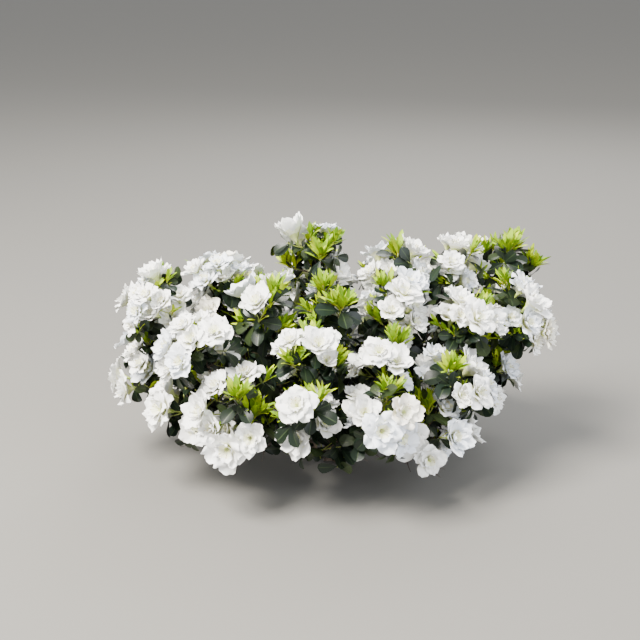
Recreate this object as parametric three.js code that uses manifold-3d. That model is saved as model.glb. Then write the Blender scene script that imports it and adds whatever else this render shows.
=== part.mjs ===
// A young white azalea in full flower, rooted in the ground: a short trunk with a root flare,
// long thin boughs that fan out from it, and a broad low crown of separate masses. Each mass
// has a stem, a whorl of twigs, and on every twig either a double white blossom over a ruff of
// old dark leaves, or such a ruff under a tuft of narrow young leaves.
//
// Millimetres and degrees, +Z up. The origin is the middle of the flat cut under the trunk, at
// ground level. +X is to the right and +Y away from the side that the shrub is usually seen from.

import * as THREE from "three";
import { mergeVertices } from "three/addons/utils/BufferGeometryUtils.js";
import Module from "manifold-3d";

const wasm = await Module();
wasm.setup();

// Driving sizes

const clearance = 0.3; // between solids that meet without being fused
const finest = 0.01; // smallest step that is kept in a surface
const up = new THREE.Vector3(0, 0, 1);
const degrees = Math.PI / 180;
const goldenTurn = 137.5 * degrees;

const trunk = {
  height: 54,
  flareRadius: 17,
  waistRadius: 11,
  topRadius: 8,
  flareFade: 9, // the height over which the root flare dies away
  roots: 5, // swellings round the flare
  rootDepth: 0.22, // how far they stand out, as a share of the radius
  lean: 4, // how far the top stands to the right of the foot
  sides: 15,
  steps: 7,
};

const bough = {
  lowestStart: 16, // height on the trunk of the flattest and of the steepest bough
  highestStart: 48,
  footRadius: 3.5,
  sideRadius: 2.4, // of a bough that grows from another bough
  tipRadius: 1.6,
  bow: 0.36, // length of each handle of its curve, as a share of the whole
  follow: 0.35, // how far a bough sets out along the bough that it grows from
  sway: 0.07, // how far it wanders sideways, as a share of the whole
  sides: 5,
  steps: 4,
};

const mass = {
  radius: 88, // of the space that a mass may fill, about its middle
  gap: 0.6, // between the spaces of two masses
  outwardRise: 0.5, // slope of the way outwards, as a share of the slope to the middle
  lift: 0.62, // how far growth turns from there to upright
  crotchDepth: 34, // from the middle back to the top of the stem
  stemLength: 26,
  stemRadius: 1.6,
  leafSpacing: 7,
  limbMargin: 1.2, // between a leaf and any limb
  groundMargin: 38,
};

const twig = {
  step: 2.3, // down the stem, from each to the next
  radius: 1.1,
  tipRadius: 0.75,
  widestSpread: 82 * degrees, // of the outermost, from the line of growth
  phase: 1.3, // radians, that a whorl is turned from the whorl of the row before
  wander: 0.5, // radians, about its place in the whorl
  longest: 62,
  shortest: 17,
  fill: 0.9, // of the room that it has, at the least
};

// Each ring of a blossom is out from its axis and rises from the end of its tube. Between two
// petals it is drawn in to the share notch and lower by dip.
const blossom = {
  petals: 5,
  radius: 31,
  least: 0.76, // share of that radius that one has before it shrinks
  smallest: 20, // where the space is tight
  shrink: 0.93, // from one try to the next
  spacing: 0.72, // between two of them, as a share of their radii together
  outwards: 0.3, // how far it turns from its twig's line to outwards
  upwards: 0.25, // and from there to the line of growth, at the most
  sink: 7, // how far the twig runs up inside the tube
  tubeEnd: { out: 0, rise: 0, notch: 1, dip: 0 },
  rim: { out: 31, rise: 24, notch: 0.8, dip: 2.5 },
  inner: { out: 15, rise: 30, notch: 0.66, dip: 6 },
  heart: { out: 0, rise: 19, notch: 1, dip: 0 },
};

const oldLeaf = { length: 33, width: 16, thickness: 1.5 };
const youngLeaf = { length: 31, width: 10, thickness: 1.3 };
const leafSizes = [0.82, 1.05]; // smallest and largest, as shares
const leafSpreads = [0.85, 1.1]; // least and most, as shares of the spread of their ring
const leafMargin = 1.5; // between a leaf and any blossom

// Rings of leaves: how many, how far up the twig, the step down it from each to the next, how far
// they spread, and how far the ring as a whole turns from the twig's line to upright.
const collar = { leaves: 3, at: 0.7, step: 3.5, spread: 70 * degrees, lift: 0 }; // below a blossom
const ruff = { leaves: 4, at: 0.84, step: 3.5, spread: 76 * degrees, lift: 0 }; // below a tuft
const tuft = { leaves: 4, at: 1, step: 2.2, spread: 26 * degrees, lift: 0.5, height: 18, radius: 13 };

// Every bough and the mass that it carries. The bough grows from the limb from, at the place at
// on it where that is a bough. The middle of the mass lies from the trunk at a bearing, 0 to the
// right and 90 to the back, at its reach outwards, and at its height.
const plan = [
  ["left_crown", "trunk", 0, 184, 233, 241, 6, 2],
  ["left_low", "left_crown", 0.5, 179, 256, 157, 5, 1],
  ["left_foot", "trunk", 0, 202, 211, 125, 4, 1],
  ["left_middle", "left_crown", 0.3, 170, 169, 247, 6, 2],
  ["left_front", "left_middle", 0.34, 214, 207, 210, 5, 2],
  ["front_left_low", "left_foot", 0.4, 232, 200, 151, 4, 2],
  ["centre_left", "trunk", 0, 217, 116, 245, 3, 3],
  ["centre_front", "trunk", 0, 257, 154, 204, 5, 1],
  ["centre", "centre_left", 0.4, 269, 75, 251, 2, 4],
  ["top", "trunk", 0, 120, 52, 290, 3, 4],
  ["front_low", "trunk", 0, 260, 187, 156, 3, 2],
  ["front_right_low", "front_low", 0.4, 284, 188, 153, 4, 2],
  ["front_right", "centre_front", 0.4, 297, 152, 192, 6, 1],
  ["middle_right", "trunk", 0, 323, 92, 240, 6, 1],
  ["top_right", "trunk", 0, 25, 96, 269, 6, 1],
  ["right_crown", "trunk", 0, 14, 171, 271, 7, 1],
  ["right_middle", "right_crown", 0.45, 340, 175, 226, 6, 2],
  ["right_tip", "right_crown", 0.62, 22, 267, 262, 1, 5],
  ["right_end", "trunk", 0, 0, 235, 226, 7, 1],
  ["right_front", "trunk", 0, 323, 182, 165, 5, 2],
  ["right_low", "right_end", 0.42, 4, 203, 146, 3, 2],
  ["right_foot", "right_front", 0.35, 318, 172, 106, 4, 1],
  ["left_back_end", "back_left", 0.4, 152, 255, 134, 5, 1],
  ["back_left", "trunk", 0, 137, 205, 205, 6, 2],
  ["back_left_low", "back", 0.36, 113, 226, 114, 5, 1],
  ["back", "trunk", 0, 100, 150, 222, 6, 2],
  ["back_right", "trunk", 0, 56, 180, 225, 6, 2],
  ["back_right_low", "trunk", 0, 72, 232, 118, 5, 1],
  ["right_back_end", "back_right_low", 0.3, 33, 232, 144, 5, 1],
].map(([name, from, at, bearing, reach, height, blossoms, tufts]) => {
  return { name, from, at, bearing, reach, height, blossoms, tufts };
});

const bark = new THREE.MeshStandardMaterial({ color: 0x5d4a3d, roughness: 0.9, metalness: 0 });
const whitePetals = new THREE.MeshStandardMaterial({ color: 0xf2f2ee, roughness: 0.6, metalness: 0 });
const youngGreen = new THREE.MeshStandardMaterial({ color: 0x9ab82c, roughness: 0.5, metalness: 0 });

// Small tools

// A stream of numbers from 0 to 1, one for each bough and each of its twigs.
function seeded(boughIndex, twigIndex) {
  let state = 7001 + boughIndex * 9973 + twigIndex * 619;
  const next = () => {
    state = (state * 16807) % 2147483647;
    return state / 2147483647;
  };
  next();
  next();
  return next;
}

const mix = (a, b, share) => a + (b - a) * share;
const blend = (a, b, share) => a.clone().lerp(b, share).normalize();
const along = (point, direction, distance) => point.clone().addScaledVector(direction, distance);

// Two directions at right angles to a third.
function sideways(direction) {
  const reference = Math.abs(direction.z) < 0.9 ? up : new THREE.Vector3(1, 0, 0);
  const first = reference.clone().cross(direction).normalize();
  return [first, direction.clone().cross(first)];
}

// The direction that leans away from axis by tilt, towards turn.
function leaning(axis, tilt, turn) {
  const [first, second] = sideways(axis);
  return axis
    .clone()
    .multiplyScalar(Math.cos(tilt))
    .addScaledVector(first, Math.sin(tilt) * Math.cos(turn))
    .addScaledVector(second, Math.sin(tilt) * Math.sin(turn));
}

function solidOf(geometry, nearness = 1e-4) {
  geometry.deleteAttribute("normal");
  geometry.deleteAttribute("uv");
  const merged = mergeVertices(geometry, nearness);
  return new wasm.Manifold(
    new wasm.Mesh({
      numProp: 3,
      vertProperties: merged.attributes.position.array,
      triVerts: new Uint32Array(merged.index.array),
    }),
  );
}

function geometryOf(solid) {
  const result = solid.getMesh();
  const geometry = new THREE.BufferGeometry();
  geometry.setAttribute("position", new THREE.BufferAttribute(result.vertProperties, 3));
  return geometry.setIndex(new THREE.BufferAttribute(result.triVerts, 1));
}

function meshOf(name, solid, material) {
  const geometry = geometryOf(solid);
  geometry.computeVertexNormals();
  const mesh = new THREE.Mesh(geometry, material);
  mesh.name = name;
  return mesh;
}

// The outer shell of the largest body in a solid, so that no loose scrap or sealed bubble is left.
// Vertices closer than a thousandth are merged first, because that can part a bubble off, and
// those that shape the surface by less than finest are dropped.
function largest(solid) {
  const shells = solidOf(geometryOf(solid), 1e-3).simplify(finest).decompose();
  return shells.reduce((a, b) => (a.volume() > b.volume() ? a : b));
}

// Limbs

// A closed cylinder bent along a curve, with its radius at each place and turn.
function tube(curve, radiusAt, sides, steps) {
  const geometry = new THREE.CylinderGeometry(1, 1, 1, sides, steps);
  const place = geometry.attributes.position;
  const [across] = sideways(curve.getPoint(1).sub(curve.getPoint(0)).normalize());
  for (let i = 0; i < place.count; i += 1) {
    const share = Math.min(Math.max(place.getY(i) + 0.5, 0), 1);
    const distance = Math.hypot(place.getX(i), place.getZ(i));
    const turn = Math.atan2(-place.getZ(i), place.getX(i));
    const tangent = curve.getTangent(share);
    const second = tangent.clone().cross(across).normalize();
    const first = second.clone().cross(tangent);
    const radius = distance * radiusAt(share, turn);
    const point = curve
      .getPoint(share)
      .addScaledVector(first, radius * Math.cos(turn))
      .addScaledVector(second, radius * Math.sin(turn));
    place.setXYZ(i, point.x, point.y, point.z);
  }
  return solidOf(geometry);
}

const trunkLine = new THREE.LineCurve3(
  new THREE.Vector3(0, 0, 0),
  new THREE.Vector3(trunk.lean, 0, trunk.height),
);

function trunkRadius(share, turn) {
  const flare = Math.exp((-share * trunk.height) / trunk.flareFade);
  const round = mix(trunk.waistRadius, trunk.flareRadius, flare);
  const taper = mix(1, trunk.topRadius / trunk.waistRadius, share);
  return round * taper * (1 + trunk.rootDepth * flare * Math.cos(trunk.roots * turn));
}

// The trunk stands upright on its rings, so its foot is cut flat and level.
function makeTrunk(extra = 0) {
  const upright = new THREE.LineCurve3(new THREE.Vector3(), new THREE.Vector3(0, 0, trunk.height));
  const radiusAt = (share, turn) => trunkRadius(share, turn) + extra;
  const lean = trunk.lean / trunk.height;
  return tube(upright, radiusAt, trunk.sides, trunk.steps).warp((point) => {
    point[0] += point[2] * lean;
  });
}

const centreOf = (row) =>
  new THREE.Vector3(
    row.reach * Math.cos(row.bearing * degrees),
    row.reach * Math.sin(row.bearing * degrees),
    row.height,
  );

// The curve and radii of one bough, and the line along which its mass grows on.
function layBough(row, limbs) {
  const parent = limbs.get(row.from);
  const centre = centreOf(row);
  const outwards = centre.clone().setZ(centre.z * mass.outwardRise).normalize();
  const growth = blend(outwards, up, mass.lift);
  const crotch = along(centre, growth, -mass.crotchDepth);
  const tip = along(crotch, growth, -mass.stemLength);
  const steepness = Math.atan2(tip.z, Math.hypot(tip.x, tip.y)) / (90 * degrees);
  const startHeight = mix(bough.lowestStart, bough.highestStart, steepness);
  const share = parent ? row.at : startHeight / trunk.height;
  const start = parent ? parent.curve.getPoint(share) : trunkLine.getPoint(share);
  const way = tip.clone().sub(start);
  const length = way.length();
  const straight = way.normalize();
  const leaving = parent ? blend(straight, parent.curve.getTangent(share), bough.follow) : straight;
  const [across] = sideways(straight);
  const random = seeded(plan.indexOf(row), 0);
  const drift = (random() * 2 - 1) * bough.sway * length;
  const curve = new THREE.CubicBezierCurve3(
    start,
    along(start, leaving, length * bough.bow).addScaledVector(across, drift),
    along(tip, growth, -length * bough.bow).addScaledVector(across, -drift),
    tip,
  );
  const footRadius = parent ? bough.sideRadius : bough.footRadius;
  return { row, parent, curve, centre, outwards, growth, crotch, tip, footRadius };
}

const boughRadius = (limb, share) => mix(limb.footRadius, bough.tipRadius, share);

function boughSolid(limb, extra = 0) {
  const radiusAt = (share) => boughRadius(limb, share) + extra;
  return tube(limb.curve, radiusAt, bough.sides, bough.steps);
}

// The space of each mass

// The planes halfway to every other mass, and one above the ground, that close in its space.
function wallsOf(limb, limbs) {
  const walls = [];
  for (const other of limbs.values()) {
    if (other === limb) continue;
    const normal = other.centre.clone().sub(limb.centre);
    const half = normal.length() / 2;
    normal.normalize();
    walls.push({ normal, offset: normal.dot(limb.centre) + half - mass.gap / 2 });
  }
  walls.push({ normal: new THREE.Vector3(0, 0, -1), offset: -mass.groundMargin });
  return walls;
}

const insideSpace = (limb, point) =>
  point.distanceTo(limb.centre) <= mass.radius &&
  limb.walls.every((wall) => wall.normal.dot(point) <= wall.offset);

// The distance from a point to the bark of the nearest limb.
function limbDistance(point, limbs) {
  let least = Infinity;
  for (const limb of limbs.values()) {
    for (let i = 0; i < limb.joints.length - 1; i += 1) {
      const line = new THREE.Line3(limb.joints[i], limb.joints[i + 1]);
      const near = line.closestPointToPoint(point, true, new THREE.Vector3());
      const radius = boughRadius(limb, i / (limb.joints.length - 1));
      least = Math.min(least, near.distanceTo(point) - radius);
    }
  }
  return least;
}

// How far a disc that faces a given way can go from the start before it leaves the space.
function roomAhead(limb, start, direction, facing, radius) {
  let nearest = 0;
  let furthest = twig.longest;
  for (const wall of limb.walls) {
    const tilt = wall.normal.dot(facing);
    const halfWidth = radius * Math.sqrt(Math.max(0, 1 - tilt * tilt));
    const room = wall.offset - halfWidth - wall.normal.dot(start);
    const speed = wall.normal.dot(direction);
    if (speed > 1e-6) furthest = Math.min(furthest, room / speed);
    else if (room < 0) nearest = Math.max(nearest, speed < -1e-6 ? room / speed : Infinity);
  }
  const away = start.clone().sub(limb.centre);
  const inner = mass.radius - radius / 3;
  const half = away.dot(direction);
  const reach = half * half - away.lengthSq() + inner * inner;
  furthest = reach > 0 ? Math.min(furthest, Math.sqrt(reach) - half) : 0;
  return nearest <= furthest ? furthest : 0;
}

// Foliage

// A leaf of four faces: a keel from its root to its tip, under an edge from side to side. lift is
// the way that its upper side faces.
function leafSolid(root, direction, lift, leaf, size) {
  const across = direction.clone().cross(lift).normalize();
  const top = across.clone().cross(direction).normalize();
  const length = leaf.length * size;
  const middle = along(along(root, direction, length / 2), top, leaf.thickness * size);
  const geometry = new THREE.TetrahedronGeometry(1);
  const place = geometry.attributes.position;
  for (let i = 0; i < place.count; i += 1) {
    const keel = place.getZ(i) > 0;
    const end = Math.sign(place.getX(i));
    const point = keel
      ? along(root, direction, (length * (end + 1)) / 2)
      : along(middle, across, (-leaf.width * size * end) / 2);
    place.setXYZ(i, point.x, point.y, point.z);
  }
  return solidOf(geometry);
}

// The points at which a leaf is tested: its tip, its two sides, and two on its midrib.
function leafPoints(root, direction, lift, leaf, size) {
  const across = direction.clone().cross(lift).normalize();
  const length = leaf.length * size;
  const middle = along(root, direction, length / 2);
  return [
    along(root, direction, length),
    along(middle, across, (leaf.width * size) / 2),
    along(middle, across, (-leaf.width * size) / 2),
    along(root, direction, length * 0.75),
    along(root, direction, length * 0.4),
  ];
}

// A double blossom whose tube ends at base, as one closed body: a funnel up to a scalloped rim of
// broad outer petals, a raised ring of inner petals, and the heart sunk between those.
function blossomSolid({ base, facing, radius, turn }) {
  const size = radius / blossom.radius;
  const geometry = new THREE.SphereGeometry(1, blossom.petals * 2, 3);
  const place = geometry.attributes.position;
  const [first, second] = sideways(facing);
  for (let i = 0; i < place.count; i += 1) {
    const level = Math.round(Math.acos(place.getY(i)) / (Math.PI / 3));
    const angle = Math.atan2(place.getZ(i), place.getX(i));
    const between = Math.round((angle / Math.PI) * blossom.petals) % 2 !== 0;
    const ring = [blossom.heart, blossom.inner, blossom.rim, blossom.tubeEnd][level];
    const out = size * ring.out * (between ? ring.notch : 1);
    const rise = size * (ring.rise - (between ? ring.dip : 0));
    const point = along(base, facing, rise)
      .addScaledVector(first, out * Math.cos(angle + turn))
      .addScaledVector(second, -out * Math.sin(angle + turn));
    place.setXYZ(i, point.x, point.y, point.z);
  }
  return solidOf(geometry);
}

// Whether a point lies in a blossom, or within a margin of the cone that it fills.
function touchesBlossom(flower, point, margin) {
  const size = flower.radius / blossom.radius;
  const away = point.clone().sub(flower.base);
  const rise = away.dot(flower.facing);
  if (rise < -margin || rise > blossom.inner.rise * size + margin) return false;
  const out = Math.sqrt(Math.max(0, away.lengthSq() - rise * rise));
  const rimRise = blossom.rim.rise * size;
  return out < (flower.radius * Math.min(rise, rimRise)) / rimRise + margin;
}

// Where one twig of a mass goes, and how far. A blossom shrinks a little to find room, and a twig
// with no room for one gets a tuft of leaves instead, or is left out.
function layTwig(limb, i, count, wantsBlossom, flowers) {
  const { row, outwards, growth, crotch } = limb;
  const boughIndex = plan.indexOf(row);
  const random = seeded(boughIndex, i + 1);
  const tilt = Math.acos(1 - ((i + 0.5) / count) * (1 - Math.cos(twig.widestSpread)));
  const swing = (random() - 0.5) * twig.wander;
  const direction = leaning(growth, tilt, boughIndex * twig.phase + i * goldenTurn + swing);
  const turned = blend(direction, outwards, blossom.outwards);
  const facing = blend(turned, growth, random() * blossom.upwards);
  const turn = random() * 2 * Math.PI;
  const stretch = mix(twig.fill, 1, random());
  const start = along(crotch, growth, -i * twig.step);
  const common = { start, turn, random };
  const widest = blossom.radius * mix(blossom.least, 1, random());
  if (wantsBlossom) {
    for (let radius = widest; radius >= blossom.smallest; radius *= blossom.shrink) {
      const size = radius / blossom.radius;
      const length = roomAhead(limb, start, direction, facing, radius) * stretch;
      const middle = along(start, direction, length);
      const base = along(middle, facing, -blossom.rim.rise * size);
      const clear = flowers.every(
        (other) => other.middle.distanceTo(middle) > (other.radius + radius) * blossom.spacing,
      );
      if (length < twig.shortest || !clear) continue;
      const flower = { base, facing, radius, turn, middle };
      return { ...common, flower, end: along(base, facing, blossom.sink * size) };
    }
  }
  const room = roomAhead(limb, start, direction, direction, tuft.radius) - tuft.height;
  const end = along(start, direction, room * stretch);
  const inTuft = along(end, direction, tuft.height / 2);
  const blocked = flowers.some((flower) => touchesBlossom(flower, inTuft, tuft.radius / 2));
  return room < twig.shortest || blocked ? null : { ...common, end };
}

// The mass of one bough: its stem, and twigs that part from it and end in blossom or tufts.
function growMass(limb, limbs) {
  const { row, growth, crotch } = limb;
  const count = row.blossoms + row.tufts;
  const dueBy = (i) => Math.floor((i * row.blossoms) / count);
  const flowers = [];
  const twigs = [];
  for (let i = 0; i < count; i += 1) {
    const laid = layTwig(limb, i, count, dueBy(i + 1) > dueBy(i), flowers);
    if (!laid) continue;
    twigs.push(laid);
    if (laid.flower) flowers.push(laid.flower);
  }

  const stem = new THREE.LineCurve3(along(limb.tip, growth, clearance), along(crotch, growth, 1));
  const solids = [tube(stem, () => mass.stemRadius, 4, 1)];
  const leafMarks = [];
  const fits = (point) =>
    insideSpace(limb, point) &&
    limbDistance(point, limbs) > mass.limbMargin &&
    !flowers.some((flower) => touchesBlossom(flower, point, leafMargin)) &&
    leafMarks.every((mark) => mark.distanceTo(point) > mass.leafSpacing);
  const addLeaves = ({ start, end, turn, random }, ring, leaf) => {
    const axis = end.clone().sub(start).normalize();
    const stance = blend(axis, up, ring.lift);
    const length = end.distanceTo(start);
    for (let j = 0; j < ring.leaves; j += 1) {
      const root = along(start, axis, length * ring.at - j * ring.step);
      const spread = ring.spread * mix(...leafSpreads, random());
      const direction = leaning(stance, spread, turn + j * goldenTurn);
      const size = mix(...leafSizes, random());
      const points = leafPoints(root, direction, stance, leaf, size);
      if (!points.every(fits)) continue;
      leafMarks.push(...points.slice(0, 4));
      solids.push(leafSolid(root, direction, stance, leaf, size));
    }
  };
  const twigRadius = (share) => mix(twig.radius, twig.tipRadius, share);
  for (const laid of twigs) {
    solids.push(tube(new THREE.LineCurve3(laid.start, laid.end), twigRadius, 3, 1));
    if (laid.flower) solids.push(blossomSolid(laid.flower));
    else addLeaves(laid, tuft, youngLeaf);
    addLeaves(laid, laid.flower ? collar : ruff, oldLeaf);
  }
  return wasm.Manifold.union(solids);
}

// The whole shrub

const limbs = new Map();
const waiting = [...plan];
while (waiting.length) {
  const row = waiting.shift();
  if (row.from !== "trunk" && !limbs.has(row.from)) {
    waiting.push(row);
    continue;
  }
  const limb = layBough(row, limbs);
  limb.joints = limb.curve.getPoints(10);
  limbs.set(row.name, limb);
}
for (const limb of limbs.values()) limb.walls = wallsOf(limb, limbs);

const shrub = new THREE.Group();
shrub.name = "azalea_shrub";
const wood = new THREE.Group();
const crown = new THREE.Group();
shrub.add(wood, crown);

wood.add(meshOf("trunk", makeTrunk(), bark));
const fatTrunk = makeTrunk(clearance);
for (const limb of limbs.values()) {
  const parentSolid = limb.parent ? boughSolid(limb.parent, clearance) : fatTrunk;
  const cut = largest(boughSolid(limb).subtract(parentSolid));
  wood.add(meshOf(`bough_${limb.row.name}`, cut, bark));
}

for (const limb of limbs.values()) {
  let grown = growMass(limb, limbs);
  for (const other of limbs.values()) {
    const near = boughSolid(other, clearance);
    if (other !== limb && grown.intersect(near).volume() > 0) grown = grown.subtract(near);
  }
  const material = limb.row.blossoms > limb.row.tufts ? whitePetals : youngGreen;
  crown.add(meshOf(`foliage_${limb.row.name}`, largest(grown), material));
}

export default shrub;
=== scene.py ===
# A white azalea in full flower, rooted in the ground.
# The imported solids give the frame. On it this script grows the looks: a trunk and boughs with
# their bark, and on each bough the twigs, leaves and blossom of its mass. The rule is the one
# that the solids are grown by, carried on to finer twigs, real leaves and separate petals.

import math

import bpy
import numpy as np
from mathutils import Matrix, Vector, noise


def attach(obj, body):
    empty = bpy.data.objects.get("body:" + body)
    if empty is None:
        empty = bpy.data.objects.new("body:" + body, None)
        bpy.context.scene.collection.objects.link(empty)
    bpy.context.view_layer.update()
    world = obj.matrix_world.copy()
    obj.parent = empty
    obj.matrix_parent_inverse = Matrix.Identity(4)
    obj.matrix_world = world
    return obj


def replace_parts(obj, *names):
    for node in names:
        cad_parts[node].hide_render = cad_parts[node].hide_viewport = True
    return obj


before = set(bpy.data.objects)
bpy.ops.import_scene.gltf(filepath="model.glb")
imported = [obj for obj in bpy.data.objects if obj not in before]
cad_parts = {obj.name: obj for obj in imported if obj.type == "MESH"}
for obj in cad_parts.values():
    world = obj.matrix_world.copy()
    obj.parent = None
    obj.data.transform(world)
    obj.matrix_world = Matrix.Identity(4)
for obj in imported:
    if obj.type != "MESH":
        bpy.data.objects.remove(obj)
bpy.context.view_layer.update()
print("frame loaded")

mm = 0.001
degrees = math.pi / 180
fullTurn = 2 * math.pi
goldenTurn = 137.5 * degrees
anyPhase = 6  # radians, nearly a full turn
up = np.array([0.0, 0.0, 1.0])


# Small tools. Directions and places are arrays of three numbers, in millimetres.


def gather(rows, key):
    return np.array([row[key] for row in rows])


def unit(v):
    return v / np.linalg.norm(v, axis=-1, keepdims=True)


def mix(a, b, share):
    return a + (b - a) * share


def blend(a, b, share):
    return unit(mix(a, b, share))


def sideways(direction):  # two directions at right angles to a third
    reference = up if abs(direction[2]) < 0.9 else np.array([1.0, 0.0, 0.0])
    first = unit(np.cross(reference, direction))
    return first, np.cross(direction, first)


def leaning(axis, tilt, turn):
    first, second = sideways(axis)
    flat = math.cos(turn) * first + math.sin(turn) * second
    return math.cos(tilt) * axis + math.sin(tilt) * flat


def circle(sides, first, second):  # points round an axis, from two directions across it
    angles = np.linspace(0, fullTurn, sides, endpoint=False)[:, None]
    return np.cos(angles) * first[..., None, :] - np.sin(angles) * second[..., None, :]


# The random numbers of the solids: where a stream starts and how it goes on
seedStart, perBough, perTwig = 7001, 9973, 619
factor, modulus = 16807, 2147483647

# Streams of the finer growth, apart from the solids' own, which are 0 and one for each twig
streams = {"finerBlossom": 60, "shoots": 70, "knots": 90}


def seeded(boughIndex, twigIndex):
    state = [seedStart + boughIndex * perBough + twigIndex * perTwig]

    def draw():
        state[0] = state[0] * factor % modulus
        return state[0] / modulus

    draw()  # the first two are too alike from stream to stream
    draw()
    return draw


def deselectAll():
    for thing in list(bpy.context.selected_objects):
        thing.select_set(False)


# Materials


def linear(code):
    channels = [int(code[i : i + 2], 16) / 255 for i in (1, 3, 5)]
    return [c / 12.92 if c <= 0.04045 else ((c + 0.055) / 1.055) ** 2.4 for c in channels] + [1]


def addNode(material, kind, settings=None, links=None):
    tree = material.node_tree
    node = tree.nodes.new(kind)
    for name, value in (settings or {}).items():
        if name in node.inputs:
            node.inputs[name].default_value = value
        else:
            setattr(node, name, value)
    for name, source in (links or {}).items():
        tree.links.new(source, node.inputs[name])
    return node


def shaderOf(material):
    return material.node_tree.nodes["Principled BSDF"]


def addDents(material, height, depth, strength=0.6):  # height is a socket
    settings = {"Strength": strength, "Distance": depth * mm}
    dents = addNode(material, "ShaderNodeBump", settings, {"Height": height})
    material.node_tree.links.new(dents.outputs["Normal"], shaderOf(material).inputs["Normal"])


def addNoise(material, grain, settings):  # grain is the size of its spots in millimetres
    place = addNode(material, "ShaderNodeTexCoord").outputs["Object"]
    settings = {"Scale": 1 / (grain * mm), **settings}
    return addNode(material, "ShaderNodeTexNoise", settings, {"Vector": place}).outputs["Fac"]


def newMaterial(name, code, roughness, sockets=None, relief=None):
    material = bpy.data.materials.new(name)
    material.use_nodes = True
    shader = shaderOf(material)
    shader.inputs["Base Color"].default_value = linear(code)
    shader.inputs["Roughness"].default_value = roughness
    for socket, value in (sockets or {}).items():
        shader.inputs[socket].default_value = value
    if relief:
        grain, depth = relief
        addDents(material, addNoise(material, grain, {"Detail": 3}), depth)
    return material


def newMaterials(kind, sockets, relief, looks):  # looks give each a colour and a roughness
    return [newMaterial(f"azalea_{kind}_{n}", *look, sockets, relief) for n, look in looks.items()]


# Azalea bark: thin, dry and grey-brown, with fine lengthwise cracks and small pale flakes.
barkLook = {
    "roughness": 0.85,
    "cracks": {"Detail": 6, "Roughness": 0.65, "Distortion": 0.6},
    "patches": 8,  # times the size of the cracks
    "stops": (0.14, 0.42),  # where the dark colour ends and the pale one starts
    "dents": (0.5, 0.5),  # depth and strength
}


def makeBark(name, dark, pale, grain):
    bark = newMaterial(name, dark, barkLook["roughness"])
    cracks = addNoise(bark, grain, barkLook["cracks"])
    patches = addNoise(bark, grain * barkLook["patches"], {"Detail": 3})
    both = addNode(bark, "ShaderNodeMath", {"operation": "MULTIPLY"}, {0: cracks, 1: patches})
    tone = addNode(bark, "ShaderNodeValToRGB", None, {"Fac": both.outputs[0]})
    for stop, place, code in zip(tone.color_ramp.elements, barkLook["stops"], (dark, pale)):
        stop.position = place
        stop.color = linear(code)
    bark.node_tree.links.new(tone.outputs["Color"], shaderOf(bark).inputs["Base Color"])
    addDents(bark, cracks, *barkLook["dents"])
    return bark


trunkBark = makeBark("azalea_bark_weathered", "#3a2e26", "#7d6c5c", 2.2)
boughBark = makeBark("azalea_bark_thin", "#3b2f27", "#75665a", 1.5)

# Each relief below is the size of its grain and its depth, in millimetres
twigRelief = (0.9, 0.12)  # dry bark, a little cracked
twigBark = newMaterial("azalea_twig_bark", "#54463a", 0.8, None, twigRelief)
shootGreen = newMaterial("azalea_green_shoot", "#8f9a45", 0.55, None, twigRelief)

# Azalea petals: thin, crinkled and matt with a silky sheen, white with a green-yellow throat.
petalSockets = {"Specular IOR Level": 0.25, "Sheen Weight": 0.15, "Sheen Roughness": 0.4}
petalColours = {
    "fresh": ("#fbfbf8", 0.62),
    # a bluish grey white: painted shade, given to whole flowers
    "painted_shade": ("#eff3f8", 0.62),
    "cream": ("#f9f5e8", 0.66),
    "pale_throat": ("#f4f4da", 0.6),
    "throat": ("#dde49c", 0.6),
}
petalLooks = newMaterials("petal", petalSockets, (1.6, 0.25), petalColours) + [
    newMaterial("azalea_filament", "#fdfdf6", 0.5, None, (0.6, 0.05)),
    newMaterial("azalea_anther", "#cdbb86", 0.8, None, (0.3, 0.1)),  # mealy with pollen
    newMaterial("azalea_calyx", "#93a64c", 0.5, None, (0.6, 0.1)),
]
fresh, painted_shade, cream, paleThroat, throat, filament, anther, calyx = range(8)

# Old azalea leaves: leathery, finely netted and dark, with a waxy shine and a paler midrib.
oldColours = {
    "deep": ("#141e13", 0.34),
    "blue": ("#19241b", 0.28),
    "mid": ("#273219", 0.38),
    "midrib": ("#313f25", 0.4),
}
oldLeafLooks = newMaterials("old_leaf", {"Specular IOR Level": 0.26}, (0.9, 0.12), oldColours)

# Young azalea leaves: thin, soft, faintly downy and lime, yellower towards the stalk.
youngColours = {
    "leaf_lime": ("#89a80c", 0.5),
    "leaf_bright": ("#aabe10", 0.5),
    "leaf_green": ("#6b8e0c", 0.5),
    "stalk": ("#bcab28", 0.5),
}
youngLeafLooks = newMaterials("young", {"Specular IOR Level": 0.2}, (0.7, 0.08), youngColours)
print("materials made")


# The plan of the plant: each bough and the mass that it carries

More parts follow.
